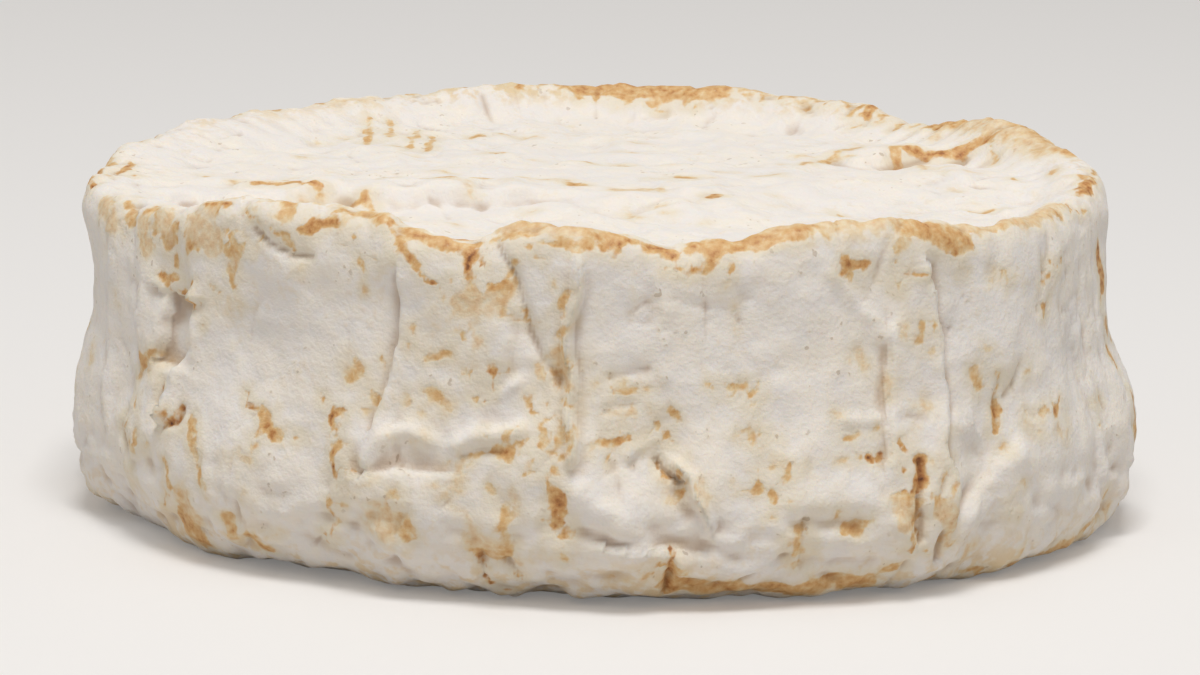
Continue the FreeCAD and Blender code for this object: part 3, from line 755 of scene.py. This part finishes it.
def mould_relief(grid):
    """Uneven growth of the white mould: lumps, grain, thin creases, and a rough crest."""
    rows = np.arange(grid.shape[1])
    side = smooth_step(rows, EDGE_ROW - 4.0, EDGE_ROW + 4.0)
    inner_top = smooth_step(rows, CREST_ROW, CREST_ROW + 12.0)
    lumps = noise(grid, 9.0, 1) * (0.42 * side - 0.2 * inner_top)
    middling = noise(grid, 3.4, 2) * (0.22 * side - 0.03 * inner_top)
    grain = noise(grid, 1.5, 3) * 0.07 * side
    foot = smooth_step(grid[..., 2], 15.0, 6.0) * side
    upright = grid * np.array([1.0, 1.0, 1.7])
    wrinkles = noise(upright, 4.6, 5) * 0.55 * foot + noise(upright, 2.3, 6) * 0.3 * foot
    drawn = grid * np.array([1.0, 1.0, 0.35])
    crease = np.exp(-(noise(drawn, 7.0, 7) / 0.06) ** 2) * smooth_step(noise(grid, 11.0, 8), 0.0, 0.35)
    scuffs = np.exp(-(noise(grid, 5.0, 10) / 0.06) ** 2) * smooth_step(noise(grid, 9.0, 11), 0.05, 0.4)
    near_crest = np.exp(-(crest_distance(grid) / 2.2) ** 2)
    crest = (noise(grid, 2.6, 12) * 0.42 + noise(grid, 1.2, 13) * 0.2) * near_crest
    return lumps + middling + grain + wrinkles - 0.26 * crease * side - 0.2 * scuffs * side + crest


def slope_pleats(grid):
    """Radial pleats in the inner slope, deepest at the back."""
    bearing = np.arctan2(grid[..., 0], -grid[..., 1])
    ring = np.stack([np.sin(bearing), -np.cos(bearing), np.zeros_like(bearing)], axis=-1) * 46.0
    wave = noise(ring, 2.1, 21) + 0.5 * noise(ring, 1.1, 22)
    distance = -crest_distance(grid)
    place = smooth_step(distance, 0.5, 2.5) * smooth_step(distance, 11.0, 5.0)
    back = 0.3 + 0.7 * smooth_step(grid[..., 1], -20.0, 30.0)
    return 0.4 * wave * place * back


def top_steps(grid):
    """Torn edges of the plateau on the top face: two wandering steps, and hummocks."""
    distance = -crest_distance(grid)
    inside = smooth_step(distance, 3.0, 8.0) * smooth_step(np.hypot(grid[..., 0], grid[..., 1]), 5.0, 12.0)
    wander = noise(grid, 8.0, 31) * 2.4 + noise(grid, 3.0, 32) * 0.9
    left = grid[..., 1] - LEFT_STEP_Y - 0.12 * grid[..., 0] + wander
    left_share = smooth_step(grid[..., 0], 4.0, -8.0)
    right = grid[..., 1] - RIGHT_STEP_Y + wander
    right_share = smooth_step(grid[..., 0], 20.0, 30.0)
    steps = 0.95 * np.tanh(left / 0.8) * np.exp(-(left / 6.0) ** 2) * left_share
    steps += 1.1 * np.tanh(right / 0.7) * np.exp(-(right / 6.0) ** 2) * right_share
    hummocks = noise(grid * np.array([1.0, 0.7, 1.0]), 3.6, 33) * 0.42
    flakes = np.tanh(noise(grid, 5.5, 34) * 9.0) * 0.14
    return (steps + hummocks + flakes) * inside


def carved(grid):
    """The grid with all its relief, and how hollow each place of it is, in mm."""
    dice = np.random.default_rng(5)
    normals = grid_normals(grid)
    points = grid.reshape(-1, 3)
    sway = noise_vectors(points, 3.5, 41) * 0.35
    folds = FOLDS + fine_folds(dice) + hidden_folds(dice)
    relief = fold_relief(points + sway, normals.reshape(-1, 3), grid, folds).reshape(grid.shape[:2])
    relief += mould_relief(grid) + slope_pleats(grid) + top_steps(grid)
    rows = np.arange(grid.shape[1])
    relief *= smooth_step(rows, EDGE_ROW - 3.0, EDGE_ROW + 3.0)
    relief *= 1.0 - smooth_step(rows, grid.shape[1] - 8.0, grid.shape[1] - 2.0)
    shape = grid + normals * relief[..., None]
    shape[..., 2] = np.maximum(shape[..., 2], 0.0)
    return shape, smoothed(relief[..., None], 14)[..., 0] - relief


# ---- stains ----

def stain_fields(grid):
    """Signed distance in mm to the nearest stain's border (negative inside) and the stain's
    strength there, for every place of the grid."""
    dice = np.random.default_rng(9)
    groups = [
        (side_place, SIDE_STAINS + satellites(SIDE_STAINS, dice) + hidden_stains(dice)),
        (rim_place, RIM_STAINS + satellites(RIM_STAINS, dice)),
        (rim_place, drips(dice) + hidden_rim_stains(dice)),
        (top_place, TOP_STAINS + top_flecks(dice)),
        (top_place, [(TAN, LINE, (x0, y0), (x1, y1)) for x0, y0, x1, y1 in PLEATS]),
    ]
    normals = grid_normals(grid).reshape(-1, 3)
    points = grid.reshape(-1, 3)
    sway = noise_vectors(points, 2.4, 51) * 0.6 + noise_vectors(points, 1.0, 54) * 0.3
    sway *= 1.0 - 0.5 * smooth_step(normals[:, 2:], 0.6, 0.95)
    edge = np.full(len(points), 1.5 * STAIN_REACH)
    depth = np.zeros(len(points))
    weight = np.full(len(points), 1e-9)
    for finder, stains in groups:
        for strength, half_width, *route in stains:
            marks = traced(grid, route, finder)
            picks, distance, _ = near_route(points + sway, normals, marks, half_width + STAIN_REACH)
            border = distance - max(half_width, HAIR)
            edge[picks] = np.minimum(edge[picks], border)
            share = np.exp(-border / 0.4)
            depth[picks] += strength * share
            weight[picks] += share
    return edge, depth / weight


# ---- mesh ----

def ring_strides(grid):
    """How many columns apart the places of each ring are."""
    strides = []
    radii = np.hypot(grid[..., 0], grid[..., 1]).mean(axis=0)
    for row, radius in enumerate(radii):
        limits = BASE_HALVING_RADII if row < BASE_ROWS else HALVING_RADII
        strides.append(2 ** sum(radius < limit for limit in limits))
    return strides


def ring_faces(lower, upper):
    """Faces between two rings, where one may have half the other's places."""
    faces = []
    if len(lower) == len(upper):
        for place in range(len(lower)):
            after = (place + 1) % len(lower)
            faces.append((lower[place], lower[after], upper[after], upper[place]))
        return faces
    fine, coarse, flip = (lower, upper, False) if len(lower) > len(upper) else (upper, lower, True)
    for place in range(len(coarse)):
        left, middle, right = (fine[(2 * place + step) % len(fine)] for step in range(3))
        near, far = coarse[place], coarse[(place + 1) % len(coarse)]
        for face in ((left, middle, near), (middle, far, near), (middle, right, far)):
            faces.append(face[::-1] if flip else face)
    return faces


def rind_mesh(grid):
    """Closed mesh of the grid, coarser round each centre. Returns the mesh and its
    vertices' (column, row) places in the grid."""
    rings = []
    picks = []
    for row, stride in enumerate(ring_strides(grid)):
        start = len(picks)
        picks += [(column, row) for column in range(0, COLUMNS, stride)]
        rings.append(list(range(start, len(picks))))
    faces = []
    for lower, upper in zip(rings, rings[1:]):
        faces += ring_faces(lower, upper)
    faces.append(rings[0][::-1])
    faces.append(rings[-1])
    picks = np.array(picks)
    mesh = bpy.data.meshes.new("rind")
    places = grid[picks[:, 0], picks[:, 1]] * MM
    mesh.from_pydata(places.tolist(), [], faces)
    mesh.validate()
    for face in mesh.polygons:
        face.use_smooth = True
    return mesh, picks


def add_field(mesh, name, values):
    field = mesh.attributes.new(name, "FLOAT", "POINT")
    field.data.foreach_set("value", np.asarray(values, dtype=np.float32))


def add_flat_map(mesh, picks, grid):
    """A UV map for baking, over one square in about mm: the front and the back of the side as
    two strips, the top face above them, and the base at half size beside it."""
    strip = 2.0 * math.pi * SIDE_RADIUS / COLUMNS
    half = COLUMNS // 2
    outward = crest_distance(grid)
    radii = np.hypot(grid[..., 0], grid[..., 1])
    layer = mesh.uv_layers.new(name="OFBake")
    for face in mesh.polygons:
        columns, rows = picks[list(face.vertices)].T
        if rows.min() >= EDGE_ROW and rows.max() <= CREST_ROW:
            first = (columns[0] + COLUMNS // 4) % COLUMNS
            across = first + (columns - columns[0] + half) % COLUMNS - half
            turns = math.floor(across.mean() / half)
            u = MAP_MARGIN + (across - turns * half) * strip
            v = MAP_MARGIN + STRIP_HEIGHT * (turns % 2) + outward[columns, rows]
        else:
            scale, centre = (1.0, TOP_CENTRE) if rows.max() > CREST_ROW else (0.5, BASE_CENTRE)
            turn = BEARINGS[columns]
            u = centre[0] + scale * radii[columns, rows] * np.sin(turn)
            v = centre[1] - scale * radii[columns, rows] * np.cos(turn)
        for corner, across, up in zip(face.loop_indices, u, v):
            layer.data[corner].uv = (across / MAP_SIZE, up / MAP_SIZE)


def placed(name, data):
    """A new object of the scene with the data."""
    thing = bpy.data.objects.new(name, data)
    bpy.context.scene.collection.objects.link(thing)
    return thing


def make_rind(node):
    grid = smoothed(fitted_grid(cad_tree(node)), 6)
    edge, depth = stain_fields(grid)
    shape, hollow = carved(grid)
    mesh, picks = rind_mesh(shape)
    places = picks[:, 0] * grid.shape[1] + picks[:, 1]
    add_field(mesh, "stain_edge", edge[places])
    add_field(mesh, "stain_depth", depth[places])
    add_field(mesh, "hollow", hollow[picks[:, 0], picks[:, 1]])
    add_flat_map(mesh, picks, grid)
    return placed("rind", mesh)


# ---- materials ----

def set_inputs(node, values):
    for name, value in values.items():
        node.inputs[name].default_value = value


def plain_material(name, colour, roughness):
    """A material and its shader."""
    material = bpy.data.materials.new(name)
    material.use_nodes = True
    shader = material.node_tree.nodes["Principled BSDF"]
    set_inputs(shader, {"Base Color": (*colour, 1.0), "Roughness": roughness})
    return material, shader


def linear(colour):
    """An sRGB colour as the shader takes it."""
    return tuple(((part + 0.055) / 1.055) ** 2.4 for part in colour) + (1.0,)


class Wiring:
    """Short words for the nodes of one material."""

    def __init__(self, material):
        self.tree = material.node_tree
        self.place = self.add("ShaderNodeTexCoord").outputs["Object"]

    def add(self, kind, **settings):
        node = self.tree.nodes.new(kind)
        for name, value in settings.items():
            setattr(node, name, value)
        return node

    def feed(self, socket, value):
        if isinstance(value, (int, float, tuple)):
            socket.default_value = value
        else:
            self.tree.links.new(value, socket)

    def maths(self, operation, first, second):
        node = self.add("ShaderNodeMath", operation=operation)
        self.feed(node.inputs[0], first)
        self.feed(node.inputs[1], second)
        return node.outputs[0]

    def plus(self, first, second):
        return self.maths("ADD", first, second)

    def times(self, first, second):
        return self.maths("MULTIPLY", first, second)

    def grain(self, size, detail=2.0):
        """Noise from about -0.5 to 0.5 with lumps of the size in mm."""
        node = self.add("ShaderNodeTexNoise")
        self.feed(node.inputs["Vector"], self.place)
        set_inputs(node, {"Scale": 1.0 / (size * MM), "Detail": detail})
        return self.maths("SUBTRACT", node.outputs["Fac"], 0.5)

    def ramp(self, value, low, high, start=0.0, end=1.0):
        """The value taken from low..high to start..end, smoothly and within them."""
        node = self.add("ShaderNodeMapRange", interpolation_type="SMOOTHSTEP")
        set_inputs(node, {"From Min": low, "From Max": high, "To Min": start, "To Max": end})
        self.feed(node.inputs["Value"], value)
        return node.outputs[0]

    def blend(self, share, first, second, mode="MIX"):
        """Two colours mixed. Sockets 6, 7 and the output 2 are the node's colour ones."""
        node = self.add("ShaderNodeMix", data_type="RGBA", blend_type=mode)
        for socket, value in ((0, share), (6, first), (7, second)):
            self.feed(node.inputs[socket], value)
        return node.outputs[2]

    def field(self, name):
        return self.add("ShaderNodeAttribute", attribute_name=name).outputs["Fac"]

    def colours(self, value, stops):
        node = self.add("ShaderNodeValToRGB")
        elements = node.color_ramp.elements
        elements[0].position, elements[0].color = stops[0][0], linear(stops[0][1])
        elements[1].position, elements[1].color = stops[-1][0], linear(stops[-1][1])
        for position, colour in stops[1:-1]:
            elements.new(position).color = linear(colour)
        self.feed(node.inputs["Fac"], value)
        return node.outputs["Color"]


def bloom_colour(wiring):
    """White mould: cool and warm patches, thin where the paste shows through."""
    cool, warm, thin = linear((0.925, 0.90, 0.875)), linear((0.945, 0.91, 0.86)), linear((0.91, 0.86, 0.785))
    patches = wiring.ramp(wiring.plus(wiring.grain(7.0), wiring.grain(1.6, 3.0)), -0.25, 0.3)
    white = wiring.blend(patches, cool, warm)
    wear = wiring.plus(wiring.grain(4.5, 4.0), wiring.grain(0.8, 3.0))
    worn = wiring.ramp(wear, 0.1, 0.36, 0.0, 0.55)
    return wiring.blend(worn, white, thin)


def speck_share(wiring):
    """Tiny grey-brown specks, in loose groups."""
    spots = wiring.ramp(wiring.grain(0.8, 1.0), 0.19, 0.24)
    kept = wiring.ramp(wiring.grain(7.0, 1.0), 0.0, 0.12)
    return wiring.times(wiring.times(spots, kept), 0.4)


def tinted_ends(wiring):
    """Uneven tan tint of the foot's lowest part and of the rim's crest."""
    parts = wiring.add("ShaderNodeSeparateXYZ")
    wiring.feed(parts.inputs[0], wiring.place)
    height = parts.outputs[2]
    foot = wiring.ramp(height, 8.0 * MM, 0.5 * MM)
    crest = wiring.ramp(height, 34.3 * MM, 36.5 * MM)
    patches = wiring.ramp(wiring.plus(wiring.grain(5.0, 3.0), wiring.grain(1.2, 2.0)), -0.06, 0.2)
    ends = wiring.maths("MAXIMUM", foot, crest)
    return wiring.times(wiring.times(ends, patches), 0.85)


def stain_colour(wiring, depth, border):
    """Pale cream to dark brown, by the stain's strength and how far inside it lies."""
    core = wiring.ramp(border, 0.1, -0.6, 0.72, 1.04)
    mottle = wiring.times(wiring.grain(0.8, 5.0), 1.35)
    tone = wiring.plus(wiring.times(depth, core), mottle)
    return wiring.colours(wiring.maths("DIVIDE", tone, 1.5), [
        (0.15, (0.92, 0.87, 0.77)),
        (0.33, (0.90, 0.80, 0.63)),
        (0.48, (0.87, 0.72, 0.51)),
        (0.62, (0.83, 0.64, 0.41)),
        (0.76, (0.73, 0.50, 0.28)),
        (0.89, (0.50, 0.30, 0.15)),
        (0.99, (0.26, 0.14, 0.08)),
    ])


def stain_share(wiring, depth, border):
    """How much of the skin's colour is the stain's: strong stains have crisp borders, weak
    ones fade out, and crumbs of mould lie over both."""
    crisp = wiring.ramp(border, 0.14, -0.14)
    soft = wiring.ramp(border, 0.7, -0.8)
    strong = wiring.ramp(wiring.plus(depth, wiring.grain(2.0)), 0.45, 0.85)
    gain = wiring.times(strong, wiring.maths("SUBTRACT", crisp, soft))
    share = wiring.plus(soft, gain)
    share = wiring.times(share, wiring.ramp(depth, 0.25, 0.8, 0.4, 1.0))
    return wiring.times(share, wiring.ramp(wiring.grain(0.6, 4.0), 0.14, 0.28, 1.0, 0.55))


def rind_material():
    material, shader = plain_material("rind", (0.84, 0.80, 0.75), 0.8)
    wiring = Wiring(material)
    depth = wiring.field("stain_depth")
    ragged = wiring.times(wiring.grain(1.8, 3.0), 1.5)
    border = wiring.plus(wiring.field("stain_edge"), ragged)
    inside = stain_share(wiring, depth, border)
    spread = wiring.plus(border, wiring.times(wiring.grain(3.5), 2.5))
    halo = wiring.times(wiring.ramp(spread, 1.6, 0.0, 0.0, 0.6), wiring.ramp(depth, 0.2, 0.9))
    colour = wiring.blend(halo, bloom_colour(wiring), linear((0.90, 0.845, 0.73)))
    colour = wiring.blend(tinted_ends(wiring), colour, linear((0.89, 0.79, 0.62)))
    colour = wiring.blend(speck_share(wiring), colour, linear((0.62, 0.52, 0.41)))
    colour = wiring.blend(inside, colour, stain_colour(wiring, depth, border))
    # Painted shade darkens the hollows and grooves, multiplied in; its brown tint stands for the cracks' own
    # brown colour.
    painted_hollow_shade = wiring.ramp(wiring.field("hollow"), 0.06, 0.5, 0.0, 0.5)
    colour = wiring.blend(painted_hollow_shade, colour, linear((0.70, 0.55, 0.38)), "MULTIPLY")
    wiring.feed(shader.inputs["Base Color"], colour)
    wiring.feed(shader.inputs["Roughness"], wiring.ramp(inside, 0.0, 1.0, 0.86, 0.6))
    set_inputs(shader, {"Subsurface Weight": 0.2, "Subsurface Scale": 1.5 * MM})
    set_inputs(shader, {"Subsurface Radius": (1.0, 0.75, 0.5)})
    bump = wiring.add("ShaderNodeBump")
    set_inputs(bump, {"Strength": 0.6, "Distance": 0.4 * MM})
    down = wiring.times(wiring.grain(0.4, 2.0), 0.18)
    fuzz = wiring.plus(wiring.grain(1.6, 5.0), down)
    sunk = wiring.times(wiring.ramp(border, 0.3, -0.3), wiring.ramp(depth, 0.3, 0.9))
    height = wiring.plus(fuzz, wiring.times(sunk, -0.3))
    wiring.feed(bump.inputs["Height"], height)
    wiring.feed(shader.inputs["Normal"], bump.outputs[0])
    return material


# ---- stage ----

def floor_material():
    """A plain pale floor, a little paler to the camera than to the light."""
    material, shader = plain_material("floor", (0.70, 0.68, 0.66), 0.8)
    set_inputs(shader, {"Emission Color": (1.0, 0.975, 0.95, 1.0)})
    wiring = Wiring(material)
    seen = wiring.add("ShaderNodeLightPath").outputs["Is Camera Ray"]
    wiring.feed(shader.inputs["Emission Strength"], wiring.times(seen, 0.165))
    return material


def make_floor():
    far = 6.0  # in metres
    mesh = bpy.data.meshes.new("floor")
    corners = [(-far, -far, 0.0), (far, -far, 0.0), (far, far, 0.0), (-far, far, 0.0)]
    mesh.from_pydata(corners, [], [(0, 1, 2, 3)])
    mesh.materials.append(floor_material())
    placed("floor", mesh)


def make_lamp(name, place, target, size, power):
    data = bpy.data.lights.new(name, "AREA")
    data.shape = "SQUARE"
    data.size = size
    data.energy = power
    lamp = placed(name, data)
    lamp.location = place
    lamp.rotation_euler = (Vector(target) - Vector(place)).to_track_quat("-Z", "Y").to_euler()


def make_light():
    world = bpy.data.worlds.new("world")
    world.use_nodes = True
    background = world.node_tree.nodes["Background"]
    set_inputs(background, {"Color": (1.0, 0.99, 0.975, 1.0), "Strength": 0.42})
    bpy.context.scene.world = world
    make_lamp("key", place=(0.0, -0.30, 0.92), target=(0.0, 0.0, 0.02), size=0.34, power=5.7)


def make_camera():
    data = bpy.data.cameras.new("camera")
    data.lens = CAMERA_LENS
    data.sensor_width = SENSOR_WIDTH
    camera = placed("camera", data)
    turn = Matrix.Rotation(-CAMERA_ROLL, 4, "Y") @ Matrix.Rotation(math.radians(90.0) - CAMERA_PITCH, 4, "X")
    camera.matrix_world = Matrix.Translation(CAMERA_PLACE) @ turn
    bpy.context.scene.camera = camera


# ---- the scene ----

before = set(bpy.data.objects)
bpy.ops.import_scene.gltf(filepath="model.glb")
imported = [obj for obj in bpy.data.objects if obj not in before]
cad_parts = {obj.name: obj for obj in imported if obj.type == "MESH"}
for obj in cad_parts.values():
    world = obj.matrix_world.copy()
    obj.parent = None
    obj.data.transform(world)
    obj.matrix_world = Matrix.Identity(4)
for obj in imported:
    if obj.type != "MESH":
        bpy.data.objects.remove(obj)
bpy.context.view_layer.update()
bpy.context.scene.view_settings.view_transform = "Standard"

rind = make_rind(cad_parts["camembert"])
rind.data.materials.append(rind_material())
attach(rind, "root")
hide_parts("camembert")

make_floor()
make_light()
make_camera()
